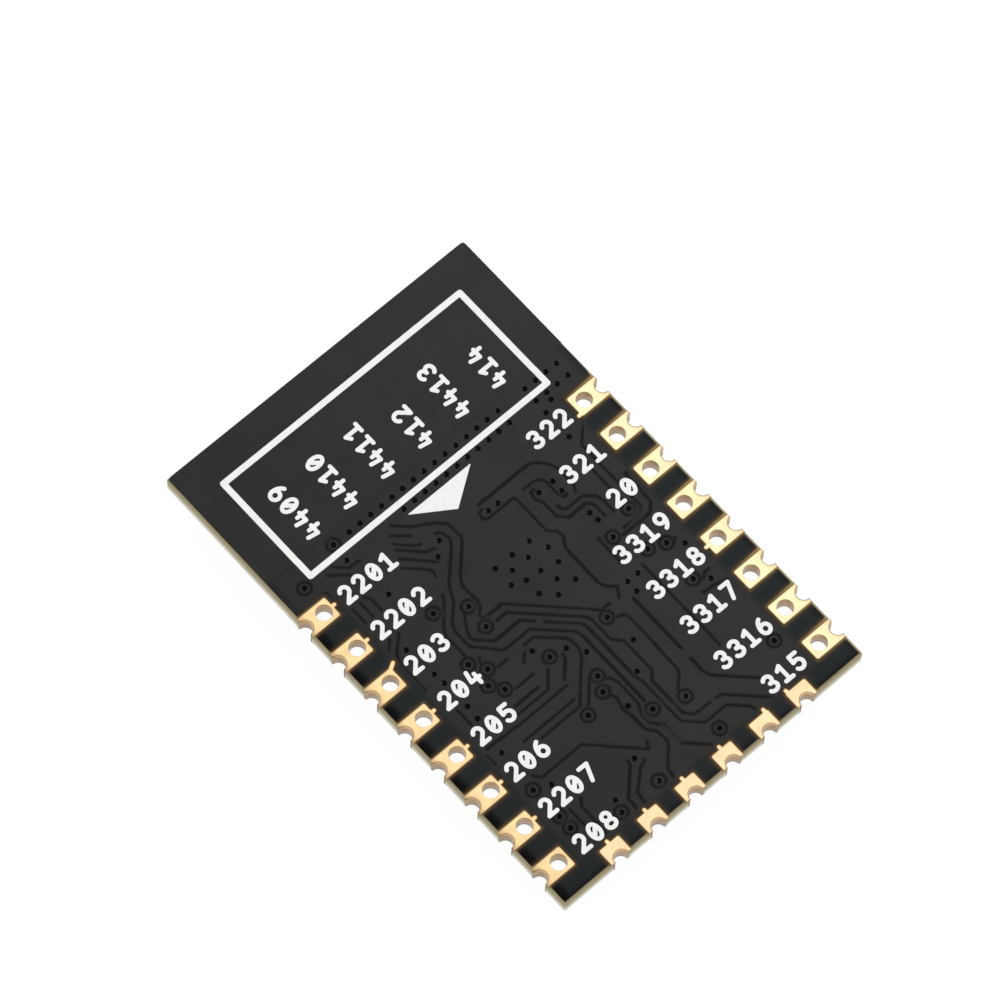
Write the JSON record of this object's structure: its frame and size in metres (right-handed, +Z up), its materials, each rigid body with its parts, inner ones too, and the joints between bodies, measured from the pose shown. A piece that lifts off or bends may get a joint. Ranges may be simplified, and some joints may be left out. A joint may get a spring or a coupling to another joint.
{
  "type": "castellated wifi radio module",
  "caption": "Black solder-down wifi radio module with gold castellated edge pads, a printed antenna zone and a metal shield can, lying on the can with its pad side up.",
  "frame": {"origin": "middle of the footprint, level with the flat face of the shield can", "axes": "+X to the pad row on the right when the antenna end is at the back and the pads face up, +Y to the antenna end, +Z up from the can to the pad side"},
  "size_m": [0.016, 0.024, 0.003],
  "materials": {
    "laminate": "glass-fibre laminate, cut edge",
    "mask": "black solder mask, satin",
    "print": "white legend ink",
    "gold": "thin gold over nickel, satin",
    "can": "plain tinned sheet",
    "chip": "moulded epoxy",
    "lead": "tinned leads",
    "ceramic": "fired ceramic, matt",
    "ceramic_pale": "pale ceramic and resin, matt",
    "coil": "glassy ceramic",
    "lens": "clear resin",
    "solder": "bright solder"
  },
  "bodies": {
    "root": {"printed_circuit_board": "laminate", "solder_mask": "mask", "component_mask": "mask", "printed_frame": "print", "printed_triangle": "print", "pad_1": "gold", "pad_2": "gold", "pad_3": "gold", "pad_4": "gold", "pad_5": "gold", "pad_6": "gold", "pad_7": "gold", "pad_8": "gold", "pad_9": "gold", "pad_10": "gold", "pad_11": "gold", "pad_12": "gold", "pad_13": "gold", "pad_14": "gold", "pad_15": "gold", "pad_16": "gold", "pad_17": "gold", "pad_18": "gold", "pad_19": "gold", "pad_20": "gold", "pad_21": "gold", "pad_22": "gold", "antenna": "gold", "shield_ring": "gold", "shield_can": "can", "radio_chip": "chip", "flash_body": "chip", "flash_leads": "lead", "crystal_base": "ceramic_pale", "crystal_lid": "can", "capacitor_1": "ceramic", "capacitor_2": "ceramic", "capacitor_3": "ceramic", "capacitor_4": "ceramic", "capacitor_5": "ceramic", "capacitor_6": "ceramic", "capacitor_7": "ceramic", "capacitor_8": "ceramic", "resistor_1": "chip", "resistor_2": "chip", "matching_capacitor": "ceramic", "matching_coil": "coil", "lamp_resistor": "chip", "lamp_base": "ceramic_pale", "lamp_lens": "lens", "lamp_contacts": "gold", "solder_lands": "solder"}
  },
  "joints": []
}
